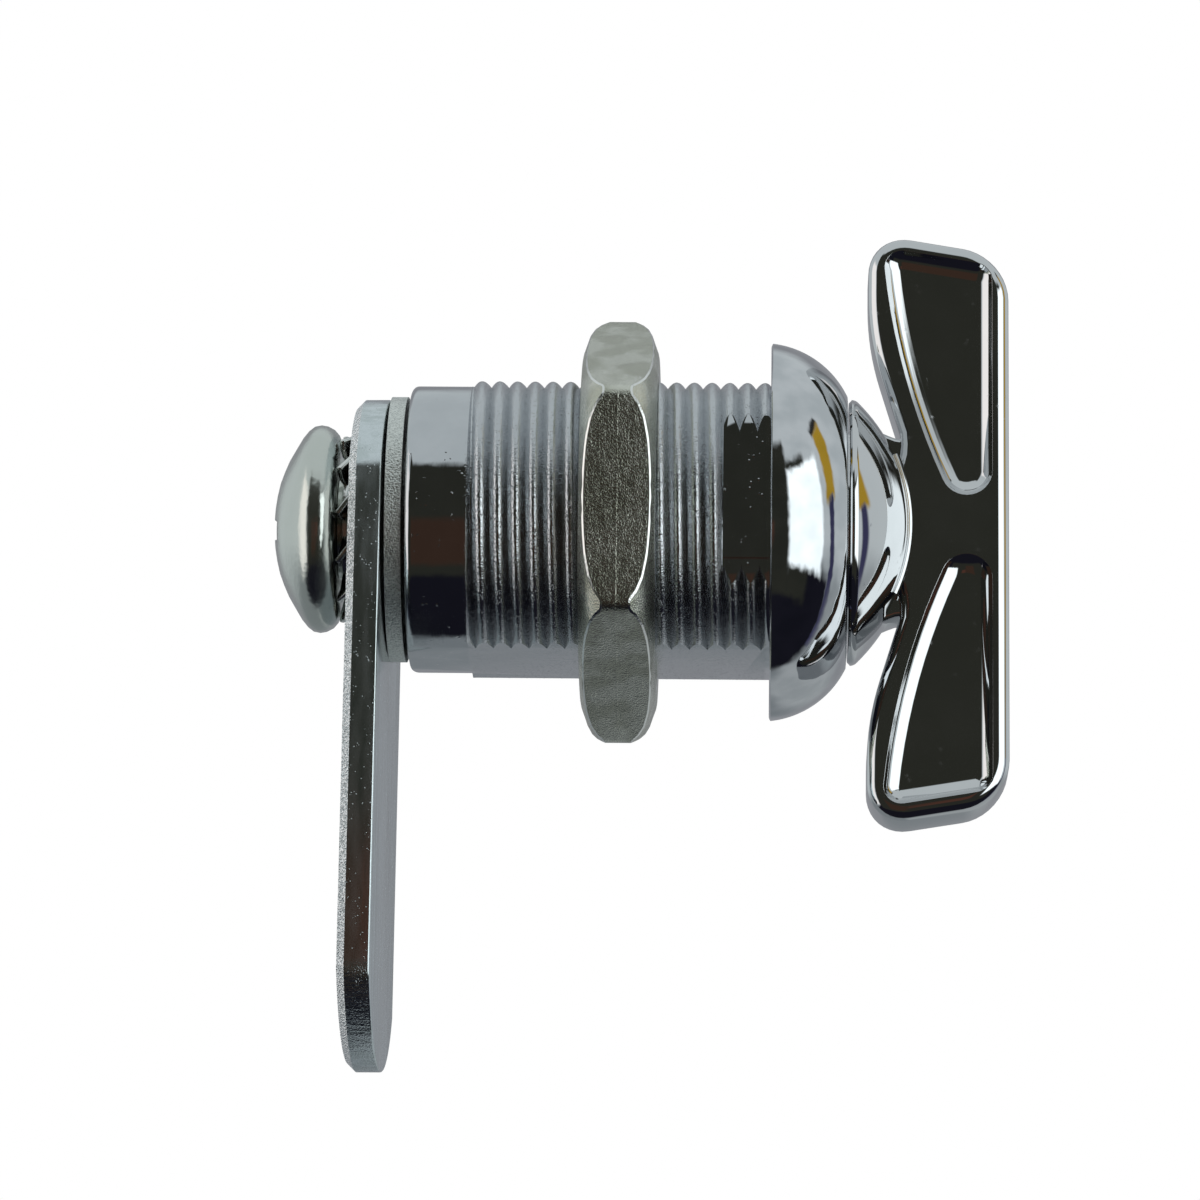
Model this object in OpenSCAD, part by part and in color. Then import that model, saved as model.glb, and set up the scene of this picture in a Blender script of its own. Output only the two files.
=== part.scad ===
/* [Barrel] */
// Diameter over the thread of the barrel
barrel_d = 19; // [18.4:0.1:20]
// Length of the barrel behind the head
barrel_l = 22.2; // [20:0.1:40]
// Distance across the two flats of the barrel
across_flats = 16.8; // [14.6:0.1:17.2]
// Diameter of the smooth tail behind the thread
tail_d = 18; // [17.2:0.1:18.2]
// Length of the smooth tail
tail_l = 3.9; // [2.5:0.1:6]
// Rounding of the tail's rear edge
tail_round = 0.8; // [0.2:0.1:1]
// Bore that the spindle turns in
bore_d = 12.8; // [12:0.1:13.4]
// Length of the flat pad beside the head
pad_l = 2.9; // [1:0.1:5]
// Distance of the flat pad from the axis
pad_reach = 7.9; // [7.6:0.1:9]
// Height of the shallow pocket in the pad
pocket_h = 7.6; // [5:0.1:9]
// Depth of the shallow pocket in the pad
pocket_depth = 0.3; // [0.1:0.05:0.5]

/* [Head] */
// Diameter of the head at its back edge
head_d = 23.6; // [21:0.1:26]
// Height of the head in front of the panel
head_h = 4.75; // [3.5:0.05:6]
// Diameter of the flat front of the head
head_face_d = 16.8; // [16.8:0.1:18]
// Radius of the head's domed side
head_round = 5.9; // [5:0.1:12]

/* [Thumb turn] */
// Diameter of the round base of the turn
base_d = 16.6; // [16:0.1:17.6]
// Radius of the crown of the base
base_crown = 11.4; // [10:0.1:13]
// Height of the crown's top above the head
base_h = 4; // [3.5:0.1:4.6]
// Rounding of the base's rim
base_edge = 0.6; // [0.2:0.1:1]
// Length of the wing from end to end
wing_span = 37.5; // [30:0.1:44]
// Reach of the wing in front of the head
wing_reach = 10; // [9:0.1:12]
// Gap between the wing's inner edge and the head
wing_foot = 1.2; // [0.8:0.1:2]
// Thickness of the wing
wing_t = 4.6; // [3.8:0.1:6]
// Rounding of the wing's rim
wing_edge = 0.9; // [0.4:0.1:1.2]
// Radius of the wing's corners near the head
wing_inner_corner = 2.3; // [1.5:0.1:3]
// Radius of the wing's outer corners
wing_outer_corner = 3.4; // [1.5:0.1:3.6]
// Slope of the wing's two ends
wing_slope = 9.5; // [0:0.5:12]
// Radius of the wing's curved inner edge
wing_back = 18; // [14:0.5:24]
// Straight stretch of the inner edge at each end of the wing
wing_shoulder = 3.65; // [3.1:0.05:5]
// Slant of the inner edge where it meets the base
wing_slant = 17; // [12:0.5:22]
// Distance across the neck of the wing
neck_w = 11.2; // [9:0.1:12]
// Width of the rim beside the recessed panels
panel_rim = 1.05; // [0.9:0.05:1.5]
// Depth of the recessed panels
panel_depth = 0.8; // [0.3:0.1:1.2]
// Width of the panels' sloping walls
panel_wall = 0.75; // [0.5:0.05:1.1]
// Distance of the panels from the middle of the wing
panel_start = 1.9; // [1.4:0.1:4]
// Radius of the panels' narrow end
panel_tip = 1.6; // [1.3:0.1:1.8]
// Radius of the panels' curved side
panel_side = 45; // [40:1:60]
// Rounding of the panels' far corners
panel_corner = 0.6; // [0.3:0.1:0.8]

/* [Spindle and cam] */
// Width of the spindle's square end
square_w = 8.7; // [8:0.1:8.8]
// Angle of the cam from straight down, as the lock is drawn
rest_turn = 0; // [0:0.5:90]
// Gap between the barrel and the stop washer
tail_gap = 0.45; // [0.2:0.05:1]
// Diameter of the stop washer
stop_d = 16.6; // [16:0.1:17.4]
// Thickness of the stop washer and of its tab
stop_t = 1; // [0.6:0.05:1.3]
// Depth that the stop tab reaches into the barrel
tab_reach = 1.2; // [0.6:0.1:2]
// Angle that the stop tab covers
tab_angle = 24; // [16:1:34]
// Angle that the lock can turn through
turn_range = 90; // [60:1:95]
// Distance from the axis to the tip of the cam
cam_reach = 34.3; // [25:0.1:60]
// Width of the cam
cam_w = 15.9; // [14:0.1:20]
// Thickness of the cam
cam_t = 2.05; // [1.5:0.05:3]
// Distance from the axis to the cam's short end
cam_heel = 8.1; // [7.8:0.1:8.4]
// Height above the axis where the cam's sides end in its round short end
cam_shoulder = 2.4; // [1.5:0.1:5]
// Rise of the cam's rounded tip over its corners
tip_rise = 4.7; // [1:0.1:7]
// Height of the star washer over its twisted teeth
star_t = 1; // [0.8:0.05:1.4]
// Diameter of the star washer over its teeth
star_d = 11.8; // [11:0.1:12.6]
// Number of teeth on the star washer
star_teeth = 12; // [8:1:14]
// Diameter of the screw's thread
screw_d = 6.3; // [5:0.1:6.5]
// Length of the screw under its head
screw_l = 11; // [8:0.5:14]
// Diameter of the screw's head
screw_head_d = 12.9; // [12:0.1:14]
// Height of the screw's head
screw_head_h = 4.3; // [3:0.1:5]
// Width of the slots in the screw's cross recess
cross_slot = 1.3; // [0.8:0.1:1.6]
// Span of the screw's cross recess
cross_span = 5.8; // [4.5:0.1:7]
// Depth of the screw's cross recess
cross_depth = 2.2; // [1:0.1:2.6]
// Thickness of the rubber ring
ring_t = 0.95; // [0.8:0.05:1.2]
// Distance of the rubber ring from the head's back face
ring_depth = 4; // [2:0.5:10]

/* [Nut] */
// Distance across the nut's flats
nut_af = 23.4; // [22:0.1:27]
// Thickness of the nut
nut_t = 4.7; // [3:0.1:7]
// Rounding of the nut's corners
nut_corner = 1.2; // [0.5:0.1:2]
// Depth of the nut's chamfers
nut_chamfer = 1.4; // [0.4:0.1:1.4]
// Gap between head and nut, where the panel goes
panel_gap = 7; // [2:0.1:9]
// Turn of the nut about the barrel
nut_turn = 5; // [-30:0.5:30]

/* [Hidden] */
$fn = 96;
running_gap = 0.05;
base_gap = 0.1;
screw_gap = 0.05;
square_short = 0.2;
ring_room = 0.3;
seat_inset = 0.1;
panel_slant = 24;
cut = 1;

spindle_d = bore_d - 2 * running_gap;
base_x = head_h + base_gap;
stop_x = -barrel_l - tail_gap - stop_t;
cam_x = stop_x - cam_t;
star_x = cam_x - star_t;
hole_d = screw_d + 2 * screw_gap;
hole_end = star_x + screw_l + cut;
keyway_w = square_w + 2 * running_gap;

notch_clearance = 1;
notch_floor = 0.4;
notch_gap = 0.2;
notch_r = stop_d / 2 - stop_t - notch_gap;

function arc(centre, r, from, to, n) =
    [for (i = [0:n]) centre + r * [cos(from + (to - from) * i / n), sin(from + (to - from) * i / n)]];
function below(points) = [for (i = [len(points) - 1:-1:0]) [points[i][0], -points[i][1]]];

// Height of a circle's centre that a sloping line touches, where the same line touches another circle
function level_with(centre, r, other_x, other_r, slope) =
    (centre * [sin(slope), cos(slope)] + r - other_r - other_x * sin(slope)) / cos(slope);

// Turns a shape that is drawn round Z so that it lies along X
module along_x(x) {
    translate([x, 0, 0]) rotate([0, 90, 0]) children();
}

// Stretches an outline in the YZ plane along X
module across_x(x, length) {
    translate([x, 0, 0]) rotate([90, 0, 90]) linear_extrude(length) children();
}

// Wedge about the Y axis that reaches to the distance given
module wedge(reach, half_angle) {
    polygon([[0, 0], reach * [1, -tan(half_angle)], reach * [1, tan(half_angle)]]);
}

// Half outline of the head: the domed side is an arc from its back edge to its flat front
module head_outline() {
    edge = [head_d / 2, 0];
    face = [head_face_d / 2, head_h];
    chord = face - edge;
    half = norm(chord) / 2;
    inward = [-chord[1], chord[0]] / norm(chord);
    centre = (edge + face) / 2 + inward * sqrt(pow(head_round, 2) - pow(half, 2));
    from = atan2(edge[1] - centre[1], edge[0] - centre[0]);
    to = atan2(face[1] - centre[1], face[0] - centre[0]);
    polygon(concat([[0, 0]], arc(centre, head_round, from, to, 16), [[0, head_h]]));
}

// Half outline of the shank, from the rear face at zero to the head
module shank_outline() {
    step = (barrel_d - tail_d) / 2;
    polygon(concat([[0, 0]],
                   arc([tail_d / 2 - tail_round, tail_round], tail_round, -90, 0, 8),
                   [[tail_d / 2, tail_l - step], [barrel_d / 2, tail_l],
                    [barrel_d / 2, barrel_l + cut], [0, barrel_l + cut]]));
}

module shank() {
    intersection() {
        along_x(-barrel_l) rotate_extrude() shank_outline();
        translate([-barrel_l - cut, -barrel_d, -across_flats / 2])
            cube([barrel_l + 2 * cut, 2 * barrel_d, across_flats]);
    }
}

// Notch in the rear rim that the stop tab travels in
module stop_notch() {
    half = (turn_range + tab_angle) / 2 + notch_clearance;
    across_x(-barrel_l - cut, tab_reach + notch_floor + cut) difference() {
        wedge(barrel_d, half);
        circle(r = notch_r);
    }
}

module barrel() {
    color("silver") difference() {
        union() {
            along_x(0) rotate_extrude() head_outline();
            shank();
        }
        along_x(-barrel_l - cut) cylinder(d = bore_d, h = barrel_l + head_h + 2 * cut);
        translate([-pad_l, -pad_reach - barrel_d, -barrel_d / 2])
            cube([pad_l, barrel_d, barrel_d]);
        translate([-pad_l, pocket_depth - pad_reach - barrel_d, -pocket_h / 2])
            cube([pad_l, barrel_d, pocket_h]);
        stop_notch();
    }
}

// Half outline of the base: a crown that ends in a short rim with a rounded edge
module base_outline() {
    crown = [0, base_h - base_crown];
    edge_r = base_d / 2 - base_edge;
    edge_z = crown[1] + sqrt(pow(base_crown - base_edge, 2) - pow(edge_r, 2));
    shoulder = atan2(edge_z - crown[1], edge_r);
    polygon(concat([[0, 0], [base_d / 2, 0]],
                   arc([edge_r, edge_z], base_edge, 0, shoulder, 6),
                   arc(crown, base_crown, shoulder, 90, 16)));
}

// The wing's outline in X and Z, drawn for its upper half and mirrored
function wing_half() =
    let (x0 = base_x + wing_foot,
         x1 = base_x + wing_reach,
         top = wing_span / 2,
         inner = [x0 + wing_inner_corner, top - wing_inner_corner],
         outer_x = x1 - wing_outer_corner,
         outer = [outer_x, level_with(inner, wing_inner_corner, outer_x, wing_outer_corner, wing_slope)],
         back = [x0 + wing_back, top - wing_shoulder],
         slant_end = back + wing_back * [cos(180 + wing_slant), sin(180 + wing_slant)],
         neck_z = neck_w / 2)
    concat(arc(outer, wing_outer_corner, 0, 90 - wing_slope, 8),
           arc(inner, wing_inner_corner, 90 - wing_slope, 180, 8),
           arc(back, wing_back, 180, 180 + wing_slant, 6),
           [[slant_end[0] + (slant_end[1] - neck_z) * tan(wing_slant), neck_z],
            [base_x + wing_edge + running_gap, neck_z - wing_edge]]);

module wing_outline() {
    polygon(concat(wing_half(), below(wing_half())));
}

// Outline of the upper recessed panel
module panel_outline() {
    right = base_x + wing_reach - panel_rim;
    tip = [right - panel_tip, panel_start + panel_tip];
    side = tip + (panel_side - panel_tip) * [cos(panel_slant), sin(panel_slant)];
    end_z = wing_span / 2 - panel_rim - panel_corner;
    end_slant = asin((side[1] - end_z) / panel_side);
    near = side - (panel_side - panel_corner) * [cos(end_slant), sin(end_slant)];
    far_x = right - panel_corner;
    far = [far_x, level_with(near, panel_corner, far_x, panel_corner, wing_slope)];
    polygon(concat(arc(tip, panel_tip, 0, panel_slant - 180, 10),
                   arc(side, panel_side, 180 + panel_slant, 180 + end_slant, 8),
                   arc(near, panel_corner, 180 + end_slant, 90 - wing_slope, 5),
                   arc(far, panel_corner, 90 - wing_slope, 0, 5)));
}

// Sloping-walled recess in one face of the wing
module panel_recess() {
    floor_shift = 0.2;
    hull() {
        translate([0, 0, wing_t / 2]) linear_extrude(panel_depth) panel_outline();
        translate([floor_shift, 0, wing_t / 2 - panel_depth]) linear_extrude(panel_depth)
            offset(delta = -panel_wall) panel_outline();
    }
}

module wing() {
    rotate([90, 0, 0]) difference() {
        minkowski() {
            linear_extrude(wing_t - 2 * wing_edge, center = true)
                offset(delta = -wing_edge) wing_outline();
            sphere(r = wing_edge, $fn = 16);
        }
        for (end = [0, 1], face = [0, 1])
            mirror([0, end, 0]) mirror([0, 0, face]) panel_recess();
    }
}

module spindle() {
    groove_w = ring_t + ring_room;
    difference() {
        along_x(stop_x + stop_t) cylinder(d = spindle_d, h = base_x - stop_x - stop_t + cut / 2);
        along_x(-ring_depth - groove_w / 2) difference() {
            cylinder(d = spindle_d + cut, h = groove_w);
            translate([0, 0, -cut]) cylinder(r = spindle_d / 2 - ring_t, h = groove_w + 2 * cut);
        }
    }
    translate([cam_x + square_short, -square_w / 2, -square_w / 2])
        cube([cam_t + stop_t - square_short + cut, square_w, square_w]);
}

module thumb_turn() {
    color("gainsboro") rotate([rest_turn, 0, 0]) {
        difference() {
            union() {
                along_x(base_x) rotate_extrude() base_outline();
                spindle();
            }
            along_x(cam_x) cylinder(d = hole_d, h = hole_end - cam_x);
        }
        wing();
    }
}

module nut_outline() {
    corner_r = (nut_af / 2 - nut_corner) / cos(30);
    polygon([for (i = [0:5])
        each arc(corner_r * [cos(60 * i + 30), sin(60 * i + 30)], nut_corner, 60 * i, 60 * i + 60, 6)]);
}

module hex_nut() {
    rim = nut_af / 2 / cos(30);
    color("darkkhaki") translate([-panel_gap - nut_t, 0, 0]) rotate([nut_turn, 0, 0]) difference() {
        intersection() {
            across_x(0, nut_t) nut_outline();
            along_x(0) rotate_extrude() polygon([
                [0, 0], [nut_af / 2, 0], [rim, nut_chamfer],
                [rim, nut_t - nut_chamfer], [nut_af / 2, nut_t], [0, nut_t]]);
        }
        along_x(-cut) cylinder(d = barrel_d + 2 * running_gap, h = nut_t + 2 * cut);
    }
}

module keyway(x, length) {
    translate([x - cut, -keyway_w / 2, -keyway_w / 2]) cube([length + 2 * cut, keyway_w, keyway_w]);
}

module stop_washer() {
    color("lightslategray") rotate([rest_turn, 0, 0]) {
        difference() {
            along_x(stop_x) cylinder(d = stop_d, h = stop_t);
            keyway(stop_x, stop_t);
        }
        rotate([-turn_range / 2, 0, 0])
            across_x(stop_x + stop_t / 2, stop_t / 2 + tail_gap + tab_reach) intersection() {
                wedge(stop_d, tab_angle / 2);
                difference() {
                    circle(d = stop_d);
                    circle(r = stop_d / 2 - stop_t);
                }
            }
    }
}

// Radius of an arc that rises so far over a chord of twice the half width
function bow_radius(half, rise) = (pow(half, 2) + pow(rise, 2)) / (2 * rise);

// Bar in Y and Z with a round short end and a rounded tip
module cam_outline() {
    half = cam_w / 2;
    heel_r = bow_radius(half, cam_heel - cam_shoulder);
    heel_start = acos(half / heel_r);
    tip_r = bow_radius(half, tip_rise);
    tip_start = acos(half / tip_r);
    polygon(concat(arc([0, cam_heel - heel_r], heel_r, heel_start, 180 - heel_start, 16),
                   arc([0, tip_r - cam_reach], tip_r, 180 + tip_start, 360 - tip_start, 24)));
}

module cam() {
    color("slategray") rotate([rest_turn, 0, 0]) difference() {
        across_x(cam_x, cam_t) cam_outline();
        keyway(cam_x, cam_t);
    }
}

module star_washer() {
    ring_w = 1.3;
    plate_t = 0.45;
    tooth_w = 1.5;
    twist = 22;
    inner_r = screw_d / 2 + 2 * screw_gap;
    middle = star_x + star_t / 2;
    color("lightgray") {
        along_x(middle - plate_t / 2) difference() {
            cylinder(r = inner_r + ring_w, h = plate_t);
            translate([0, 0, -cut]) cylinder(r = inner_r, h = plate_t + 2 * cut);
        }
        for (i = [0:star_teeth - 1])
            rotate([360 / star_teeth * i, 0, 0]) translate([middle, 0, inner_r + ring_w / 2])
                rotate([0, 0, twist]) translate([-plate_t / 2, -tooth_w / 2, 0])
                    cube([plate_t, tooth_w, star_d / 2 - inner_r - ring_w / 2]);
    }
}

// Half outline of the screw head, from its seat at zero to the top of its oval crown
module screw_head_outline() {
    side_h = 0.8;
    crown_h = screw_head_h - side_h;
    r = screw_head_d / 2;
    polygon(concat([[0, 0], [r - seat_inset, 0]],
                   [for (i = [0:14]) [r * cos(90 * i / 14), side_h + crown_h * sin(90 * i / 14)]]));
}

module cam_screw() {
    color("darkgray") translate([star_x, 0, 0]) difference() {
        union() {
            rotate([0, -90, 0]) rotate_extrude() screw_head_outline();
            along_x(-cut / 2) cylinder(d = screw_d, h = screw_l + cut / 2);
        }
        for (turn = [0, 90])
            rotate([turn, 0, 0]) translate([-screw_head_h - cut, -cross_slot / 2, -cross_span / 2])
                cube([cross_depth + cut, cross_slot, cross_span]);
    }
}

module o_ring() {
    color("dimgray") along_x(-ring_depth) rotate_extrude()
        translate([bore_d / 2 - ring_t / 2 - running_gap / 2, 0]) circle(d = ring_t - running_gap);
}

barrel();
thumb_turn();
hex_nut();
stop_washer();
cam();
star_washer();
cam_screw();
o_ring();
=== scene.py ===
# %% [markdown]
# # A thumb turn cam lock
#
# This lock closes a drawer or a mailbox. A chromed barrel goes through a hole in the panel, a nut
# clamps it from behind, and a thumb turn in front swings a cam behind the panel. The solids come
# from the CAD model, and this script dresses them: it models each visible piece again with its
# thread, roundings and stamped edges, and gives it the finish of the real metal.
#
# The frame is loaded first. It holds one empty for each moving body and one mesh for each solid.
# All of it is in metres, with the barrel's axis along X and the panel's face at X = 0.

# %% Load the frame
import math

import bmesh
import bpy
from mathutils import Matrix, Vector


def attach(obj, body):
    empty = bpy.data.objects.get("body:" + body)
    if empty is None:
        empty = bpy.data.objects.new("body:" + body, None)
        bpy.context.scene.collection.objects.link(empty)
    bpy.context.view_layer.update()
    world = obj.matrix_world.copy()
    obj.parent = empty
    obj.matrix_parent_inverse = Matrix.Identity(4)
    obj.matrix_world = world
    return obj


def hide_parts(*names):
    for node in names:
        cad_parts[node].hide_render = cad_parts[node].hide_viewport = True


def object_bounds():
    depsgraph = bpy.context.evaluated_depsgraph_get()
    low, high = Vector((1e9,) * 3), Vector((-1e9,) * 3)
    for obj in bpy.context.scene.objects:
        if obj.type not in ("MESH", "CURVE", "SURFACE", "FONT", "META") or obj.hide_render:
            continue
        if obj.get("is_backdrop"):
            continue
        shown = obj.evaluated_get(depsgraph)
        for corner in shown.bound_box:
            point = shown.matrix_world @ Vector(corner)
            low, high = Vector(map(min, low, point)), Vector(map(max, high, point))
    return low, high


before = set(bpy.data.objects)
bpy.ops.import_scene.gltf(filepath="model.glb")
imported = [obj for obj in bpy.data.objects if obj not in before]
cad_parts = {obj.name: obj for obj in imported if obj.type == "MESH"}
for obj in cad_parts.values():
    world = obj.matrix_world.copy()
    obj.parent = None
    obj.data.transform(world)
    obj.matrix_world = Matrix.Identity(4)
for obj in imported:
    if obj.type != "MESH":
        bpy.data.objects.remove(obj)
cad_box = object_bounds()

# %% [markdown]
# ## Camera
#
# The lock was photographed from close by with a long lens. The barrel lies level, the sight line
# is square to it at the panel's face, and the whole lock is rolled 15.5 degrees about the barrel,
# so that its lower end comes nearer. Here the lock stays square to the frame, so the camera goes
# down by the same angle instead and looks up.

# %% Place the camera
ROLL = math.radians(15.5)
PICTURE_TILT = math.radians(0.85)
CAMERA_DISTANCE = 0.3875
LENS = 186
AIM_ALONG = -0.0106
AIM_BELOW = 0.0043

towards_camera = Vector((0, -math.cos(ROLL), -math.sin(ROLL)))
picture_up = Vector((0, -math.sin(ROLL), math.cos(ROLL)))
aim = Vector((AIM_ALONG, 0, 0)) - AIM_BELOW * picture_up

bpy.ops.object.select_all(action="DESELECT")
bpy.ops.object.camera_add(location=towards_camera * CAMERA_DISTANCE)
camera = bpy.context.object
camera.data.lens = LENS
turn_to_aim = (aim - camera.location).to_track_quat("-Z", "Y").to_matrix()
camera.rotation_euler = (turn_to_aim @ Matrix.Rotation(PICTURE_TILT, 3, "Z")).to_euler()
bpy.context.scene.camera = camera
bpy.context.scene.view_settings.view_transform = "Standard"
print("camera at", [round(v, 4) for v in camera.location])

# %% [markdown]
# ## Nodes, one line each
#
# Materials and the world are made of nodes. Two small helpers keep their making short: one adds a
# node and feeds its inputs in order, and the other mixes two colours by a mask.

# %% Helpers for nodes
def put(tree, kind, *sources, **settings):
    """Adds a node, sets its options and feeds its inputs in order. None leaves an input alone."""
    made = tree.nodes.new(kind)
    for name, value in settings.items():
        setattr(made, name, value)
    for socket, source in zip(made.inputs, sources):
        if isinstance(source, bpy.types.NodeSocket):
            tree.links.new(source, socket)
        elif source is not None:
            socket.default_value = source
    return made.outputs[0]


def blend_colours(tree, mask, first, second):
    """Goes from the first colour to the second where the mask goes from 0 to 1."""
    made = tree.nodes.new("ShaderNodeMix")
    made.data_type = "RGBA"
    for socket, source in ((made.inputs[0], mask), (made.inputs[6], first), (made.inputs[7], second)):
        if isinstance(source, bpy.types.NodeSocket):
            tree.links.new(source, socket)
        else:
            socket.default_value = source if isinstance(source, float) else (*source, 1)
    return made.outputs[2]


def ramp(tree, value, low, high, at_low=0.0, at_high=1.0):
    """Eases from one number to another as the value goes from low to high."""
    return put(tree, "ShaderNodeMapRange", value, low, high, at_low, at_high,
               interpolation_type="SMOOTHSTEP")


def times(tree, first, second):
    """The product of two numbers."""
    return put(tree, "ShaderNodeMath", first, second, operation="MULTIPLY")

# %% [markdown]
# ## Light
#
# Polished chrome has hardly a look of its own: it shows the room. In the photograph the side of
# the room round the camera is dark, a tall window stands on the right and a smaller one on the
# left, and all the rest is white paper. The world is that room, painted by direction. Only
# reflected rays see it. The camera sees plain white, and rough surfaces get a plain even light.
# A little noise in the angles makes the outlines of the room ragged, as reflections in cast metal
# are.
#
# A direction is turned into angles in two ways. `across` goes from the camera's side to the right
# and `above` goes up from the sight line's level: these place the windows. `around` goes round the
# lock's axis, from the camera up and over, and `sideways` leans along the axis: these place the
# table, whose far edge runs along the lock. A patch is painted over those that come before it.

# %% Paint the room
PAPER = (0.61, 0.66, 0.675)
ROOM = (
    # name, across from and to, above from and to, softness in degrees, colour
    ("dark side", -58, 36, -36, 54, 3, (0.029, 0.030, 0.024)),
    ("dark side door", 34, 62, -36, 41, 3, (0.029, 0.030, 0.024)),
    ("wooden cupboard", -24, 5, -27, 9, 4, (0.052, 0.030, 0.021)),
    ("cupboard door", 5, 16, -9, 9, 2, (0.090, 0.040, 0.028)),
    ("window on the right", 34, 80, -18, 35, 2.5, (1.60, 1.72, 1.74)),
    ("window on the left", -104, -62, -26, 34, 4, (1.25, 1.20, 1.17)),
    ("lamp shade", 86, 104, 41, 47, 2, (0.03, 0.03, 0.03)),
    ("brass lamp stand", 88, 103, 11, 42, 2, (0.46, 0.29, 0.03)),
    ("window frame", 92, 99, -50, 12, 1.5, (0.05, 0.05, 0.11)),
    ("paper behind on the right", 100, 166, -75, -20, 8, (0.42, 0.45, 0.46)),
)
TABLE = ("dark table", -95, -26, -56, 74, 4, (0.010, 0.010, 0.016))
BEHIND = (
    ("floor behind", 82, 200, -100, -14, 12, (0.25, 0.275, 0.29)),
    ("grey card behind", 148, 200, -24, 30, 8, (0.30, 0.31, 0.33)),
)

SOFT_LIGHT = (0.86, 0.87, 0.88)
RAGGED_BY = 0.10
RAGGED_SCALE = 9.0

world = bpy.data.worlds.new("room")
world.use_nodes = True
bpy.context.scene.world = world
tree = world.node_tree
tree.nodes.clear()
direction = tree.nodes.new("ShaderNodeTexCoord").outputs["Generated"]


def along(axis):
    """How far the direction points along an axis."""
    made = tree.nodes.new("ShaderNodeVectorMath")
    made.operation = "DOT_PRODUCT"
    tree.links.new(direction, made.inputs[0])
    made.inputs[1].default_value = axis
    return made.outputs["Value"]


across = put(tree, "ShaderNodeMath", along((1, 0, 0)), along(towards_camera), operation="ARCTAN2")
above = put(tree, "ShaderNodeMath", along(picture_up), operation="ARCSINE")
ragged = put(tree, "ShaderNodeMath",
             put(tree, "ShaderNodeTexNoise", direction, None, RAGGED_SCALE, 3.0), 0.5,
             operation="SUBTRACT")
above = put(tree, "ShaderNodeMath", ragged, RAGGED_BY, above, operation="MULTIPLY_ADD")
around = put(tree, "ShaderNodeMath", along(picture_up), along(towards_camera), operation="ARCTAN2")
around = put(tree, "ShaderNodeMath", ragged, RAGGED_BY, around, operation="MULTIPLY_ADD")
sideways = put(tree, "ShaderNodeMath", along((1, 0, 0)), operation="ARCSINE")


def between(angle, low, high, soft):
    """1 between two angles in degrees and 0 outside them, with soft edges."""
    low, high, soft = (math.radians(v) for v in (low, high, soft))
    return times(tree, ramp(tree, angle, low - soft, low + soft),
                 ramp(tree, angle, high - soft, high + soft, 1, 0))


def paint(picture, first, second, patch):
    """Paints one patch, which is bounded by two pairs of angles, over the picture."""
    name, low, high, second_low, second_high, soft, colour = patch
    mask = times(tree, between(first, low, high, soft),
                 between(second, second_low, second_high, soft))
    return blend_colours(tree, mask, picture, colour)


turned_away = put(tree, "ShaderNodeMath", across, operation="ABSOLUTE")
picture = PAPER
for patch in BEHIND:
    picture = paint(picture, turned_away, above, patch)
picture = paint(picture, around, sideways, TABLE)
for patch in ROOM:
    picture = paint(picture, across, above, patch)

rays = tree.nodes.new("ShaderNodeLightPath").outputs
mirrored = put(tree, "ShaderNodeMath", rays["Is Glossy Ray"], rays["Is Transmission Ray"],
               operation="MAXIMUM")
seen = blend_colours(tree, mirrored, SOFT_LIGHT, picture)
seen = blend_colours(tree, rays["Is Camera Ray"], seen, (1, 1, 1))
backdrop = put(tree, "ShaderNodeBackground", seen)
tree.links.new(backdrop, tree.nodes.new("ShaderNodeOutputWorld").inputs["Surface"])
print("patches in the room:", len(ROOM) + len(BEHIND) + 1)

# %% [markdown]
# A large soft lamp overhead only shapes the shadow on the floor. The floor lies well below the
# lock, because the camera stands low. It is white to the camera, keeps the shadow, and is left out
# of the reflections, which show the room instead. Its underside is clear, so that the lock can be
# looked at from below.

# %% Hang the lamp and lay the floor
FLOOR_Z = -0.16
PAPER_GLOW = 0.10

bpy.ops.object.select_all(action="DESELECT")
bpy.ops.object.light_add(type="AREA", location=(0.12, -0.15, 0.7))
lamp = bpy.context.object
lamp.data.size = 0.6
lamp.data.energy = 3.0
lamp.rotation_euler = (-lamp.location).to_track_quat("-Z", "Y").to_euler()
lamp.visible_glossy = False

bpy.ops.object.select_all(action="DESELECT")
bpy.ops.mesh.primitive_plane_add(size=3, location=(0, 0, FLOOR_Z))
floor = bpy.context.object
floor.name = "floor"
floor.visible_glossy = False
floor_paper = bpy.data.materials.new("floor_paper")
floor_paper.use_nodes = True
tree = floor_paper.node_tree
tree.nodes.clear()
paper = put(tree, "ShaderNodeBsdfDiffuse", (0.93, 0.93, 0.93, 1))
glow = put(tree, "ShaderNodeEmission", (1, 1, 1, 1), PAPER_GLOW)
top = put(tree, "ShaderNodeAddShader", paper, glow)
clear = put(tree, "ShaderNodeBsdfTransparent")
underside = tree.nodes.new("ShaderNodeNewGeometry").outputs["Backfacing"]
surface = put(tree, "ShaderNodeMixShader", underside, top, clear)
tree.links.new(surface, tree.nodes.new("ShaderNodeOutputMaterial").inputs["Surface"])
floor.data.materials.append(floor_paper)
floor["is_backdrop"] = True
print("floor at", FLOOR_Z, "lamp at", [round(v, 3) for v in lamp.location])

# %% [markdown]
# ## Ways of working
#
# Every piece is drawn in millimetres, as on a workshop drawing, and shrunk to metres when it is
# done. A round piece starts as one vertex that is extruded from point to point along its outline,
# and that line is spun round the X axis. A flat piece starts as the same kind of line, closed to a
# face and extruded to its thickness. Holes and flats are cut with other solids.
#
# An operator acts on whatever is selected, so each helper deselects everything before it starts.

# %% Helpers that select and draw
MM = 0.001


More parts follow.
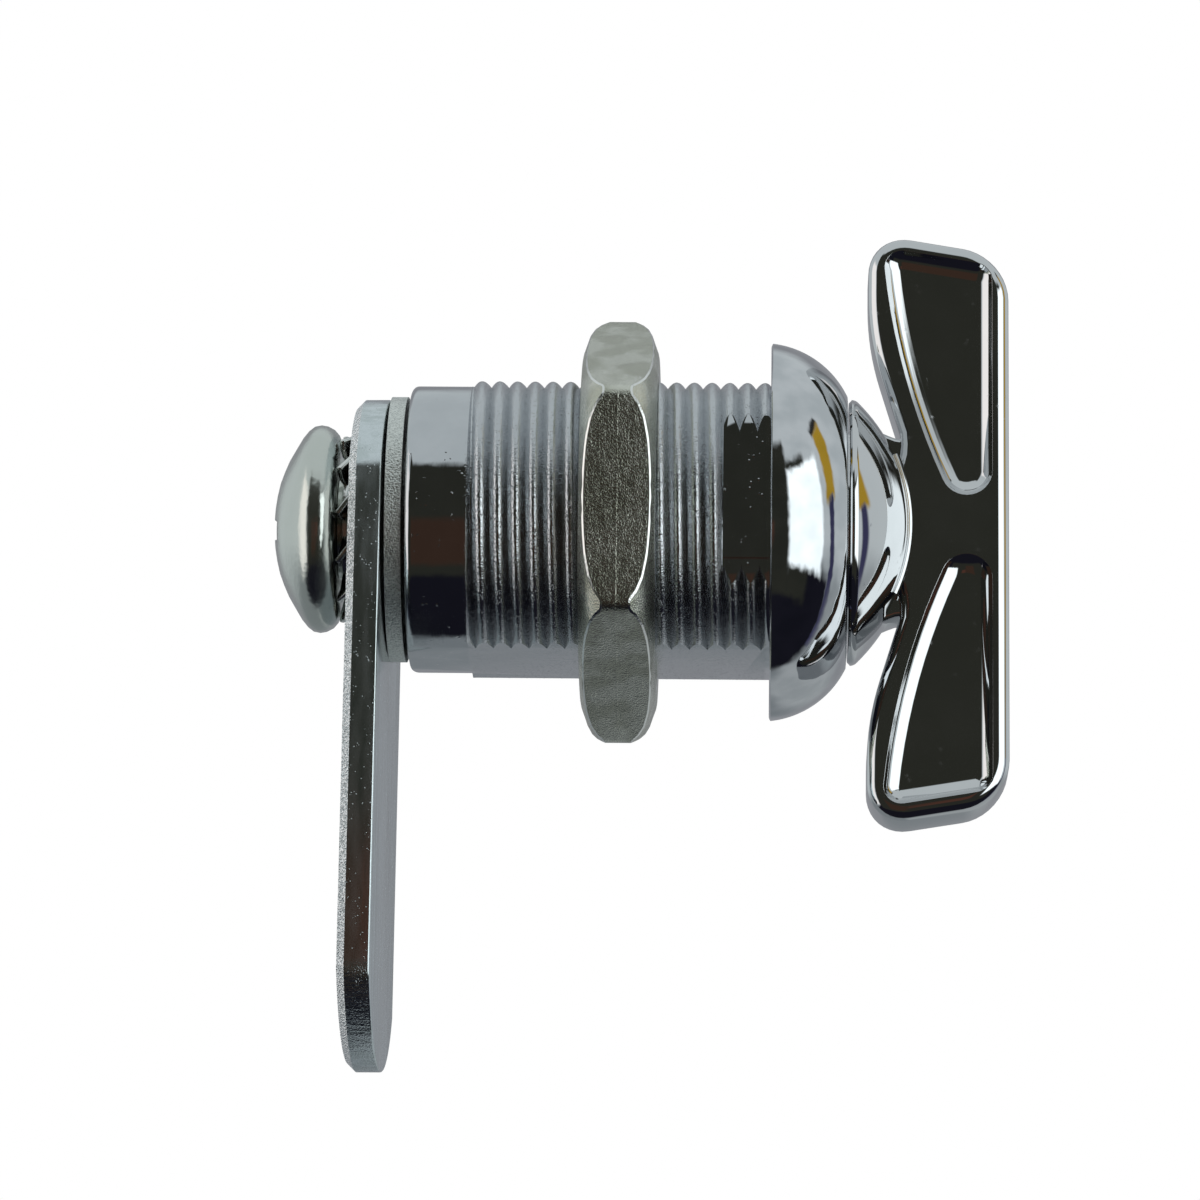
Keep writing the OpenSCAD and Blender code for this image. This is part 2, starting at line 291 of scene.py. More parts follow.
def blank():
    """Leaves edit mode and deselects everything, because operators act on all that is selected."""
    if bpy.context.mode != "OBJECT":
        bpy.ops.object.mode_set(mode="OBJECT")
    bpy.ops.object.select_all(action="DESELECT")


def edit(piece):
    """Opens a piece in edit mode with nothing selected in it."""
    blank()
    bpy.context.view_layer.objects.active = piece
    piece.select_set(True)
    bpy.ops.object.mode_set(mode="EDIT")
    bpy.ops.mesh.select_all(action="DESELECT")


def pick(kind, test):
    """Selects the vertices, edges or faces of the open piece that pass a test."""
    bpy.ops.mesh.select_mode(type=kind)
    bpy.ops.mesh.select_all(action="DESELECT")
    mesh = bpy.context.object.data
    opened = bmesh.from_edit_mesh(mesh)
    items = {"VERT": opened.verts, "EDGE": opened.edges, "FACE": opened.faces}[kind]
    for item in items:
        if test(item):
            item.select_set(True)
    opened.select_flush_mode()
    bmesh.update_edit_mesh(mesh)


def line(name, points):
    """Draws a line through the points and leaves it open in edit mode, all selected."""
    blank()
    bpy.ops.mesh.primitive_circle_add(vertices=3, radius=1)
    piece = bpy.context.object
    piece.name = name
    bpy.ops.object.mode_set(mode="EDIT")
    bpy.ops.mesh.select_mode(type="VERT")
    bpy.ops.mesh.select_all(action="SELECT")
    bpy.ops.mesh.merge(type="CENTER")
    bpy.ops.transform.translate(value=points[0])
    for here, there in zip(points, points[1:]):
        step = Vector(there) - Vector(here)
        bpy.ops.mesh.extrude_region_move(TRANSFORM_OT_translate={"value": step})
    bpy.ops.mesh.select_all(action="SELECT")
    return piece


def spun(name, outline, steps=128, angle=math.tau):
    """Spins an outline of (x, radius) points round the X axis and closes the result."""
    piece = line(name, [(x, 0, r) for x, r in outline])
    bpy.ops.mesh.spin(steps=steps, angle=angle, center=(0, 0, 0), axis=(1, 0, 0))
    bpy.ops.mesh.select_all(action="SELECT")
    bpy.ops.mesh.remove_doubles(threshold=0.0005)
    bpy.ops.mesh.normals_make_consistent(inside=False)
    blank()
    return piece


def closed(outline):
    """The same points, with the first one again at the end."""
    return list(outline) + [outline[0]]


def arc(centre, radius, start, end, steps):
    """Points on an arc, with its angles in degrees."""
    turns = [math.radians(start + (end - start) * i / steps) for i in range(steps + 1)]
    return [(centre[0] + radius * math.cos(t), centre[1] + radius * math.sin(t)) for t in turns]

# %% [markdown]
# ## Barrel and head
#
# The barrel is one zinc casting: a domed head, a threaded shank with a flat above and below, a
# smooth tail, and a bore for the spindle. Its inside and its head are round, so they are spun from
# one closed outline. The head's side is an arc, and its back edge is broken slightly, because
# plating never leaves a knife edge.

# %% Spin the body of the barrel
BORE_R = 6.4
ROOT_R = 8.93
CREST_R = 9.5
TAIL_R = 9.0
BARREL_L = 22.4
TAIL_ROUND = 0.5
THREAD_START = -18.6
CORE_R = ROOT_R - 0.25
HEAD_H = 4.75
HEAD_EDGE_R = 11.7
DOME_R = 5.92
DOME_CENTRE = (5.90, -0.56)

dome = arc(DOME_CENTRE, DOME_R, 6.5, 64, 24)
head_edge = [(0, HEAD_EDGE_R - 0.15), (0.05, HEAD_EDGE_R)] + [(x, r) for r, x in dome]
tail = arc((TAIL_ROUND - BARREL_L, TAIL_R - TAIL_ROUND), TAIL_ROUND, 180, 90, 8)
outline = ([(-BARREL_L, BORE_R + 0.2)] + tail
           + [(THREAD_START + 0.3, TAIL_R), (THREAD_START + 0.3, CORE_R), (0, CORE_R)] + head_edge
           + [(HEAD_H, BORE_R + 0.25), (HEAD_H - 0.25, BORE_R), (-BARREL_L + 0.2, BORE_R)])
barrel = spun("barrel", closed(outline), steps=160)
print("points in the outline:", len(outline))

# %% [markdown]
# Two solids are combined with the Boolean modifier, and the second one is thrown away afterwards. A
# rod and a part of a ring are the two round solids that this lock needs for it.

# %% Helpers that combine solids
def combine(piece, tool, how="DIFFERENCE"):
    """Cuts a piece with another solid, or joins the two, and throws the other one away."""
    blank()
    bpy.context.view_layer.objects.active = piece
    piece.select_set(True)
    step = piece.modifiers.new("combine", "BOOLEAN")
    step.operation, step.object, step.solver = how, tool, "EXACT"
    bpy.ops.object.modifier_apply(modifier=step.name)
    bpy.data.objects.remove(tool)


def rod(x0, x1, radius, steps=128):
    """A plain rod along the X axis, to cut with."""
    return spun("rod", [(x0, 0), (x0, radius), (x1, radius), (x1, 0)], steps)


def sector(name, outline, width, middle, steps):
    """Spins a closed outline of (x, radius) through part of a turn, centred on an angle from +Y."""
    piece = spun(name, outline, steps, math.radians(width))
    edit(piece)
    pick("EDGE", lambda e: e.is_boundary)
    bpy.ops.mesh.fill_holes(sides=0)
    bpy.ops.mesh.select_all(action="SELECT")
    bpy.ops.mesh.normals_make_consistent(inside=False)
    bpy.ops.object.mode_set(mode="OBJECT")
    places = [v.co for v in piece.data.vertices]
    centre = sum(places, Vector()) / len(places)
    piece.rotation_euler.x = math.radians(middle) - math.atan2(centre.z, centre.y)
    bpy.ops.object.transform_apply(location=False, rotation=True, scale=False)
    return piece

# %% [markdown]
# The thread is a real helix of 1.1 mm pitch. One ridge is drawn as a wave, the Screw modifier winds
# it along the barrel, and two cuts with a plane give it closed, square ends. It becomes a sleeve
# that sits on the spun body. Along one corner of the lower flat the casting has filled the
# grooves, so a plain rib fills them here and makes that edge straight.

# %% Wind the thread
PITCH = 1.1
WAVE_STEPS = 12
RIB_WIDTH, RIB_AT = 26, -58

turns = int((-THREAD_START + 2 * PITCH) / PITCH) + 2
wave = [(THREAD_START - 2 * PITCH + PITCH * i / WAVE_STEPS,
         ROOT_R + (CREST_R - ROOT_R) * abs(math.cos(math.pi * (i - WAVE_STEPS / 2) / WAVE_STEPS)))
        for i in range(WAVE_STEPS + 1)]
thread = line("thread", [(x, 0, r) for x, r in wave])
blank()
bpy.context.view_layer.objects.active = thread
thread.select_set(True)
winding = thread.modifiers.new("winding", "SCREW")
winding.axis, winding.angle, winding.screw_offset = "X", math.tau, PITCH
winding.iterations, winding.steps, winding.render_steps = turns, 96, 96
winding.use_merge_vertices, winding.merge_threshold = True, 0.0005
bpy.ops.object.modifier_apply(modifier=winding.name)
edit(thread)
bpy.ops.mesh.select_all(action="SELECT")
bpy.ops.mesh.remove_doubles(threshold=0.0005)
for x, side in ((THREAD_START, -1), (0.4, 1)):
    bpy.ops.mesh.select_all(action="SELECT")
    bpy.ops.mesh.bisect(plane_co=(x, 0, 0), plane_no=(side, 0, 0), use_fill=True,
                        clear_outer=True)
bpy.ops.mesh.select_all(action="SELECT")
bpy.ops.mesh.normals_make_consistent(inside=False)
blank()
combine(thread, rod(THREAD_START - 1, 1, ROOT_R - 1.2, 96))
combine(barrel, thread, "UNION")
rib_r = CREST_R - 0.02
rib_line = closed([(THREAD_START, 8), (THREAD_START, rib_r), (0, rib_r), (0, 8)])
combine(barrel, sector("rib", rib_line, RIB_WIDTH, RIB_AT, 12), "UNION")
print("turns of thread:", turns, "faces so far:", len(barrel.data.polygons))

# %% [markdown]
# The flats and the small pad beside the head are cut with blocks, as a cutter would take them off.
# The cuts leave the pointed ends of the thread that show above and below the pad. The pad stands a
# little proud of the rest of its flat, and its long edges are broken, so that each of them catches
# a thin line of light. A shallow notch in the rear rim is the track of the stop tab.

# %% Cut the flats, the pad and the notch
def block(low, high):
    """A plain block between two corners, to cut with."""
    blank()
    centre = (Vector(low) + Vector(high)) / 2
    bpy.ops.mesh.primitive_cube_add(size=1, location=centre, scale=Vector(high) - Vector(low))
    bpy.ops.object.transform_apply(location=True, rotation=True, scale=True)
    return bpy.context.object


FLAT_AT = 8.4
OUTSIDE, BEHIND_TAIL = 12, -23
PAD_L, PAD_Y, PAD_Z, PAD_RISE = 2.9, -8.05, 3.8, 0.2
PAD_CUT = 9
NOTCH_R, NOTCH_END, NOTCH_WIDTH = 7.1, -20.6, 116

for side in (-1, 1):
    low, high = sorted((side * FLAT_AT, side * OUTSIDE))
    combine(barrel, block((BEHIND_TAIL, -OUTSIDE, low), (0, OUTSIDE, high)))
combine(barrel, block((-PAD_L, -OUTSIDE, -PAD_CUT), (0, PAD_Y, PAD_CUT)))
for low, high in ((-PAD_CUT, -PAD_Z), (PAD_Z, PAD_CUT)):
    combine(barrel, block((-PAD_L, -OUTSIDE, low), (0, PAD_Y + PAD_RISE, high)))
edit(barrel)
pick("EDGE", lambda e: all(abs(v.co.y - PAD_Y) < 0.01 and abs(abs(v.co.z) - PAD_Z) < 0.01
                           for v in e.verts))
bpy.ops.mesh.bevel(offset=0.10, segments=2, affect="EDGES")
blank()

notch_line = closed([(BEHIND_TAIL, NOTCH_R), (BEHIND_TAIL, 10), (NOTCH_END, 10), (NOTCH_END, NOTCH_R)])
combine(barrel, sector("notch", notch_line, NOTCH_WIDTH, 0, 48))
print("faces of the barrel:", len(barrel.data.polygons))

# %% [markdown]
# A finished piece is shrunk to metres with its object left at the origin, and it is shaded smooth
# except at its sharp edges. Then it rides on its body, and the solid that it stands for is hidden.

# %% Finish the barrel
def done(piece, name, body, node, turned=0.0, smooth_below=32):
    """Shrinks a finished piece to metres and lets it ride on its body in the solid's place."""
    blank()
    bpy.context.view_layer.objects.active = piece
    piece.select_set(True)
    piece.name = piece.data.name = name
    piece.scale = (MM, MM, MM)
    piece.rotation_euler.x = turned
    bpy.ops.object.transform_apply(location=True, rotation=True, scale=True)
    bpy.ops.object.shade_smooth_by_angle(angle=math.radians(smooth_below))
    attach(piece, body)
    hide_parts(node)
    corners = [Vector(c) / MM for c in piece.bound_box]
    size = [max(c[i] for c in corners) - min(c[i] for c in corners) for i in range(3)]
    print(name, "faces:", len(piece.data.polygons), "size in mm:", [round(v, 2) for v in size])
    return piece


barrel = done(barrel, "threaded_barrel", "housing", "barrel", smooth_below=38)

# %% [markdown]
# ## Thumb turn
#
# The turn is cast in one piece: a crowned round base, a wide thin wing with two sunken panels on
# each face, and the spindle that runs through the barrel to a square end. The wing's outline is
# drawn corner by corner for its upper half and mirrored. Below the neck it runs on down into the
# crown, so that no gap shows there. Its corners are rounded while it is still a flat face, and then
# it gets its thickness and its soft rim.

# %% Draw the wing
def thicken(step):
    """Extrudes the open, selected face into a solid and points its faces outwards."""
    bpy.ops.mesh.select_all(action="SELECT")
    bpy.ops.mesh.extrude_region_move(TRANSFORM_OT_translate={"value": step})
    bpy.ops.mesh.select_all(action="SELECT")
    bpy.ops.mesh.normals_make_consistent(inside=False)


BASE_X = 4.85
WING_X0, WING_X1 = BASE_X + 1.2, BASE_X + 10
WING_TOP = 18.75
WING_HALF_T = 2.3
WING_CORNER = 2.3
WING_RIM = 0.9
SLOPE_DEG = 9.5
SLOPE = math.radians(SLOPE_DEG)
BACK_R, BACK_START, BACK_BEND = 18, 3.65, 17
NECK_Z = 5.9
NECK = ((0, NECK_Z), (0.02, 5.2), (-0.04, 4.6), (-0.16, 4.15), (-0.45, 3.8))
OUTER_REACH, INNER_REACH = 2.88, 2.72

end_line = (math.sin(SLOPE) * (WING_X0 + WING_CORNER)
            + math.cos(SLOPE) * (WING_TOP - WING_CORNER) + WING_CORNER)
outer_z = (end_line - math.sin(SLOPE) * WING_X1) / math.cos(SLOPE)
inner_z = (end_line - math.sin(SLOPE) * WING_X0) / math.cos(SLOPE)
back = arc((WING_X0 + BACK_R, WING_TOP - BACK_START), BACK_R, 180, 180 + BACK_BEND, 8)
slant_x = back[-1][0] + (back[-1][1] - NECK_Z) * math.tan(math.radians(BACK_BEND))
upper = ([(WING_X1, outer_z), (WING_X0, inner_z)] + back
         + [(slant_x + inwards, z) for inwards, z in NECK] + [(BASE_X + 1, 3.6)])
whole = upper + [(x, -z) for x, z in reversed(upper)]
wing = line("wing", [(x, -WING_HALF_T, z) for x, z in whole])
bpy.ops.mesh.edge_face_add()
for x, z, reach in ((WING_X1, outer_z, OUTER_REACH), (WING_X0, inner_z, INNER_REACH)):
    pick("VERT", lambda v: abs(v.co.x - x) < 0.01 and abs(abs(v.co.z) - z) < 0.01)
    bpy.ops.mesh.bevel(offset=reach, segments=10, affect="VERTICES")
thicken((0, 2 * WING_HALF_T, 0))
pick("EDGE", lambda e: len(e.link_faces) == 2 and abs(abs(e.verts[0].co.y) - WING_HALF_T) < 0.01
     and abs(e.verts[0].co.y - e.verts[1].co.y) < 0.01)
bpy.ops.mesh.bevel(offset=WING_RIM, segments=8, affect="EDGES")
blank()
print("faces of the wing:", len(wing.data.polygons))

# %% [markdown]
# A sunken panel is a long triangle with round corners: a tight arc at its tip, a very wide one
# along its slanted side, and two small ones at its far end. It has a flat floor and walls that
# curve into it. Its cutter is the panel's outline with a lid above it. A run of insets, each a
# little flatter than the last, makes the curved wall.

# %% Sink the panels
def soften(piece, width, segments=3, sharper_than=30, finish=-1, clamp=True):
    """Rounds every edge that is sharper than the angle. The rounding may take a finish of its own."""
    blank()
    bpy.context.view_layer.objects.active = piece
    piece.select_set(True)
    step = piece.modifiers.new("soften", "BEVEL")
    step.width, step.segments = width, segments
    step.limit_method, step.angle_limit = "ANGLE", math.radians(sharper_than)
    while len(piece.data.materials) <= finish:
        piece.data.materials.append(None)
    step.material, step.use_clamp_overlap = finish, clamp
    bpy.ops.object.modifier_apply(modifier=step.name)


RIM = 1.05
CORNER = 1.1
TIP_R = 1.6
TIP_Z = 1.9 + TIP_R
SIDE_R = 45
SIDE_SLANT = 24
WALL_STEPS = ((0.16, 0.22), (0.18, 0.17), (0.21, 0.15), (0.25, 0.13), (0.26, 0.08))

right = WING_X1 - RIM
tip = (right - TIP_R, TIP_Z)
side = (tip[0] + (SIDE_R - TIP_R) * math.cos(math.radians(SIDE_SLANT)),
        tip[1] + (SIDE_R - TIP_R) * math.sin(math.radians(SIDE_SLANT)))
end_z = WING_TOP - RIM - CORNER
end_slant = math.degrees(math.asin((side[1] - end_z) / SIDE_R))
near = (side[0] - (SIDE_R - CORNER) * math.cos(math.radians(end_slant)),
        side[1] - (SIDE_R - CORNER) * math.sin(math.radians(end_slant)))
far_x = right - CORNER
far_z = (near[0] * math.sin(SLOPE) + near[1] * math.cos(SLOPE)
         - far_x * math.sin(SLOPE)) / math.cos(SLOPE)
panel = (arc(tip, TIP_R, 0, SIDE_SLANT - 180, 14)
         + arc(side, SIDE_R, 180 + SIDE_SLANT, 180 + end_slant, 10)[1:]
         + arc(near, CORNER, 180 + end_slant, 90 - SLOPE_DEG, 10)[1:]
         + arc((far_x, far_z), CORNER, 90 - SLOPE_DEG, 0, 10))
for end in (1, -1):
    for face in (1, -1):
        cutter = line("cutter", [(x, face * WING_HALF_T, end * z) for x, z in panel])
        bpy.ops.mesh.edge_face_add()
        thicken((0, face, 0))
        pick("FACE", lambda f: len(f.verts) > 8
             and abs(abs(f.calc_center_median().y) - WING_HALF_T) < 0.01)
        for inwards, down in WALL_STEPS:
            bpy.ops.mesh.inset(thickness=inwards, depth=down)
        blank()
        combine(wing, cutter)
soften(wing, 0.20, 4, 40)
print("faces with the panels sunk:", len(wing.data.polygons))

# %% [markdown]
# The base is a crown on a short rim, and the spindle behind it is stepped: a round part with a
# groove for the rubber ring, then the square that carries the washers and the cam, with a hole for
# the screw. The base and the round part share one outline. A thin web with rounded edges slopes
# from the wing's inner edge down to the crown and fills the corner between them.

# %% Spin the base and the spindle, and add the wing
CROWN_R = 11.4
CROWN_X = BASE_X + 4 - CROWN_R
BASE_EDGE, BASE_EDGE_R = 0.6, 7.7
SPINDLE_R, SPINDLE_END = 6.35, -22.65
GROOVE_X, GROOVE_W, GROOVE_DEPTH = -4, 1.25, 0.95
SQUARE, SQUARE_END = 8.7, -25.5
HOLE_R, HOLE_END = 3.2, -14.7
HALF_WEB_T = 1.55
WEB = ((9.2, 5.6), (8.3, 5.7), (7.8, 5.78), (7.35, 5.95), (6.9, 6.15), (6.0, 6.1))

edge_x = CROWN_X + math.sqrt((CROWN_R - BASE_EDGE) ** 2 - BASE_EDGE_R ** 2)
shoulder = math.degrees(math.atan2(edge_x - CROWN_X, BASE_EDGE_R))
rim = [(x, r) for r, x in arc((BASE_EDGE_R, edge_x), BASE_EDGE, 0, shoulder, 6)]
crown = [(x, r) for r, x in arc((0, CROWN_X), CROWN_R, shoulder, 90, 20)]
groove_r = SPINDLE_R - GROOVE_DEPTH
groove = [(GROOVE_X - GROOVE_W / 2, SPINDLE_R), (GROOVE_X - GROOVE_W / 2, groove_r),
          (GROOVE_X + GROOVE_W / 2, groove_r), (GROOVE_X + GROOVE_W / 2, SPINDLE_R)]
outline = ([(SPINDLE_END, 0), (SPINDLE_END, SPINDLE_R - 0.2), (SPINDLE_END + 0.2, SPINDLE_R)] + groove
           + [(BASE_X, SPINDLE_R), (BASE_X, 8.1), (BASE_X + 0.2, 8.3)] + rim + crown[1:])
turn = spun("turn", outline, steps=144)
half = SQUARE / 2
combine(turn, block((SQUARE_END, -half, -half), (SPINDLE_END + 1, half, half)), "UNION")
combine(turn, rod(SQUARE_END - 0.5, HOLE_END, HOLE_R, 64))
combine(turn, wing, "UNION")
web = line("web", [(x, -HALF_WEB_T, z) for x, z in WEB]
           + [(x, -HALF_WEB_T, -z) for x, z in reversed(WEB)])
bpy.ops.mesh.edge_face_add()
thicken((0, 2 * HALF_WEB_T, 0))
soften(web, 0.3, 4, 50)
combine(turn, web, "UNION")
print("faces of the turn so far:", len(turn.data.polygons))

# %% [markdown]
# Where the wing's two faces stand on the crown the casting has a small fillet. A ball rolled along
# a flat face and a round crown draws a ring, so the fillet is spun as well, through part of a turn,
# and then turned about the crown's centre to stand in the middle.

# %% Fill the corner between the wing's faces and the crown
def add_to(piece, other):
    """Joins another piece to this one, each with its own skin."""
    blank()
    bpy.context.view_layer.objects.active = piece
    piece.select_set(True)
    other.select_set(True)
    bpy.ops.object.join()


BALL_R = 0.35
FILLET_BEND = 47

ball = (math.sqrt((CROWN_R + BALL_R) ** 2 - (WING_HALF_T + BALL_R) ** 2), WING_HALF_T + BALL_R)
down = math.degrees(math.atan2(ball[1], ball[0])) - 180
hollow = arc(ball, BALL_R, -90, down, 8)
inside = (ball[0] - 0.3, WING_HALF_T - 0.3)
for face in (1, -1):
    fillet = line("fillet", [(CROWN_X + r, face * y, 0) for r, y in closed(hollow + [inside])])
    bpy.ops.mesh.spin(steps=20, angle=math.radians(FILLET_BEND), center=(CROWN_X, 0, 0), axis=(0, 1, 0))
    bpy.ops.mesh.select_all(action="SELECT")
    bpy.ops.mesh.remove_doubles(threshold=0.0005)
    pick("EDGE", lambda e: e.is_boundary)
    bpy.ops.mesh.fill_holes(sides=0)
    bpy.ops.mesh.select_all(action="SELECT")
    bpy.ops.mesh.normals_make_consistent(inside=False)
    bpy.ops.object.mode_set(mode="OBJECT")
    places = [v.co for v in fillet.data.vertices]
    middle = sum(places, Vector()) / len(places) - Vector((CROWN_X, 0, 0))
    spin_back = Matrix.Rotation(math.atan2(middle.z, middle.x), 4, "Y")
    fillet.data.transform(Matrix.Translation((CROWN_X, 0, 0)) @ spin_back
                          @ Matrix.Translation((-CROWN_X, 0, 0)))
    add_to(turn, fillet)
turn = done(turn, "winged_turn", "turn", "thumb_turn", smooth_below=34)

# %% [markdown]
# ## Nut
#
# The nut is a cast hexagon. It starts as a six-sided prism whose corners are broken. A disc with
# round shoulders cuts it from both sides, which gives each flat its lens shape, and a bore clears
# the thread. Handling has worn its edges bright. The Bevel modifier can give the narrow faces that
# it makes a finish of their own, so the edges are softened with finish number 1.

# %% Cast the nut
NUT_AF, NUT_T, NUT_X = 23.4, 4.7, -11.7
NUT_TURN = 5
NUT_BORE, MOUTH_R = 9.55, 10.9
SHOULDERS = ((0.05, 11.15), (0.25, 11.7), (0.42, 12.2), (0.70, 12.7), (1.05, 13.05),
             (1.40, 13.28), (1.52, 13.4), (1.55, 13.6))

blank()
bpy.ops.mesh.primitive_cylinder_add(vertices=6, radius=NUT_AF / 2 / math.cos(math.radians(30)),
                                    depth=NUT_T, location=(NUT_X + NUT_T / 2, 0, 0),
                                    rotation=(0, math.radians(90), 0))
bpy.ops.object.transform_apply(location=True, rotation=True, scale=True)
nut = bpy.context.object
nut.rotation_euler.x = math.radians(30)
bpy.ops.object.transform_apply(location=False, rotation=True, scale=False)
edit(nut)
pick("EDGE", lambda e: abs(e.verts[0].co.x - e.verts[1].co.x) > 1)
bpy.ops.mesh.bevel(offset=0.5, segments=5, affect="EDGES")
blank()
rear = [(NUT_X + depth, r) for depth, r in SHOULDERS]
front = [(2 * NUT_X + NUT_T - x, r) for x, r in reversed(rear)]
disc = spun("disc", [(NUT_X, 0), (NUT_X, MOUTH_R)] + rear + front
            + [(NUT_X + NUT_T, MOUTH_R), (NUT_X + NUT_T, 0)], 96)
combine(nut, disc, "INTERSECT")
bore = spun("bore", [(NUT_X - 1, 0), (NUT_X - 1, MOUTH_R), (NUT_X + 0.35, NUT_BORE),
                     (NUT_X + NUT_T - 0.35, NUT_BORE), (NUT_X + NUT_T + 1, MOUTH_R),
                     (NUT_X + NUT_T + 1, 0)], 96)
combine(nut, bore)
soften(nut, 0.08, 1, 24, finish=1, clamp=False)
nut = done(nut, "cast_nut", "nut", "hex_nut", math.radians(NUT_TURN), smooth_below=17)

# %% [markdown]
# ## Stop washer and cam
#
# Both are punched from sheet steel and keyed on the spindle's square. A punch rounds the edge where
# it enters and leaves a burr where it comes out, so their edges are softened. The washer's tab,
# bent forward into the barrel's notch, limits the turn to a quarter.

# %% Punch the stop washer
STOP_X, STOP_T, STOP_R = -23.65, 1, 8.3
KEYWAY = 4.4
TAB_END, TAB_WIDTH, TAB_AT = STOP_X + 2.65, 24, -45

disc_line = closed([(STOP_X, 4.0), (STOP_X, STOP_R), (STOP_X + STOP_T, STOP_R),
                    (STOP_X + STOP_T, 4.0)])
stop = spun("stop", disc_line, 128)
combine(stop, block((STOP_X - 1, -KEYWAY, -KEYWAY), (STOP_X + STOP_T + 1, KEYWAY, KEYWAY)))
tab_line = closed([(STOP_X + 0.5, STOP_R - 1), (STOP_X + 0.5, STOP_R), (TAB_END, STOP_R),
                   (TAB_END, STOP_R - 1)])
combine(stop, sector("tab", tab_line, TAB_WIDTH, TAB_AT, 10), "UNION")
soften(stop, 0.12, 2, 40)
stop = done(stop, "punched_stop_washer", "turn", "stop_washer")

# %% [markdown]
# The cam is a bar with a round short end and a flatter rounded tip. Its edge towards the screw is
# dressed off to a wide band that is rough and bright, and the other edge is only broken. It has
# three finishes: its broad faces, that band, and the sheared rim between them. They are numbered
# before the edges are bevelled, because the bevel can only use a number that the mesh already has.
#
# On the real lock the cam sits a little askew on its square, so it shows more of its front face
# than it should. It is turned by less than two degrees about its own length.

# %% Punch the cam
CAM_X, CAM_T, CAM_W = -25.7, 2.05, 15.9
HALF_W = CAM_W / 2
HEEL, SHOULDER, TIP_RISE, CAM_REACH = 8.1, 1.8, 4.7, 34.3
CAM_SKEW = math.radians(-1.8)
FACES, BAND, SHEARED = 0, 1, 2
BAND_W, BROKEN_W = 0.5, 0.12

heel_r, tip_r = ((HALF_W ** 2 + rise ** 2) / (2 * rise) for rise in (HEEL - SHOULDER, TIP_RISE))
heel_start, tip_start = (math.degrees(math.acos(HALF_W / r)) for r in (heel_r, tip_r))
cam_line = (arc((0, HEEL - heel_r), heel_r, heel_start, 180 - heel_start, 28)
            + arc((0, tip_r - CAM_REACH), tip_r, 180 + tip_start, 360 - tip_start, 32))
cam = line("cam", [(CAM_X, y, z) for y, z in cam_line])
bpy.ops.mesh.edge_face_add()
thicken((CAM_T, 0, 0))
for _ in (FACES, BAND, SHEARED):
    cam.data.materials.append(None)
for x, width, segments, finish in ((CAM_X, BAND_W, 1, BAND), (CAM_X + CAM_T, BROKEN_W, 3, FACES)):
    pick("EDGE", lambda e: all(abs(v.co.x - x) < 0.01 for v in e.verts))
    bpy.ops.mesh.bevel(offset=width, segments=segments, affect="EDGES", material=finish)
blank()
for face in cam.data.polygons:
    if face.material_index == FACES and abs(face.normal.x) < 0.2:
        face.material_index = SHEARED
combine(cam, block((CAM_X - 1, -KEYWAY, -KEYWAY), (CAM_X + CAM_T + 1, KEYWAY, KEYWAY)))
middle = Vector((CAM_X + CAM_T / 2, 0, 0))
cam.data.transform(Matrix.Translation(middle) @ Matrix.Rotation(CAM_SKEW, 4, "Z")
                   @ Matrix.Translation(-middle))
cam = done(cam, "punched_cam", "turn", "cam")

# %% [markdown]
# ## Star washer and screw
#
# The star washer is a thin ring with twelve teeth that are twisted like the blades of a fan. One
# tooth is extruded outwards in short steps, each turned a little further about its own length, and
# then it is copied round the ring, each copy with its own mesh.

# %% Twist the star washer
STAR_X = -26.7
STAR_MIDDLE = STAR_X + 0.42
RING_IN, RING_OUT, RING_HALF_T = 3.3, 4.6, 0.2
TEETH = 12
TOOTH_HALF_T, TOOTH_HALF_W, TOOTH_STEP = 0.18, 0.75, 0.35
TWISTS = (20, 10, 5, 1)

ring_line = closed([(STAR_MIDDLE - RING_HALF_T, RING_IN), (STAR_MIDDLE - RING_HALF_T, RING_OUT),
                    (STAR_MIDDLE + RING_HALF_T, RING_OUT), (STAR_MIDDLE + RING_HALF_T, RING_IN)])
star = spun("star", ring_line, 72)
soften(star, 0.06, 2, 40)
tooth = block((STAR_MIDDLE - TOOTH_HALF_T, -TOOTH_HALF_W, 4.0),
              (STAR_MIDDLE + TOOTH_HALF_T, TOOTH_HALF_W, 4.5))
edit(tooth)
pick("FACE", lambda f: f.normal.z > 0.9)
for twist in TWISTS:
    bpy.ops.mesh.extrude_region_move(TRANSFORM_OT_translate={"value": (0, 0, TOOTH_STEP)})
    bpy.ops.transform.rotate(value=math.radians(twist), orient_axis="Z",
                             center_override=(STAR_MIDDLE, 0, 5))
soften(tooth, 0.12, 3, 40)
for number in range(TEETH):
    blank()
    bpy.context.view_layer.objects.active = tooth
    tooth.select_set(True)
    bpy.ops.object.duplicate()
    placed = bpy.context.object
    placed.rotation_euler.x = math.tau * number / TEETH
    bpy.ops.object.transform_apply(location=False, rotation=True, scale=False)
    add_to(star, placed)
bpy.data.objects.remove(tooth)
star = done(star, "twisted_star_washer", "turn", "star_washer")

# %% [markdown]
# The screw's head is a low cone with a round top, a rounded rim and a cross recess. Its outline is
# a list of heights over its seat with their radii. It is spun, and a tapered cross, made of two
# wedges, is cut into its top.

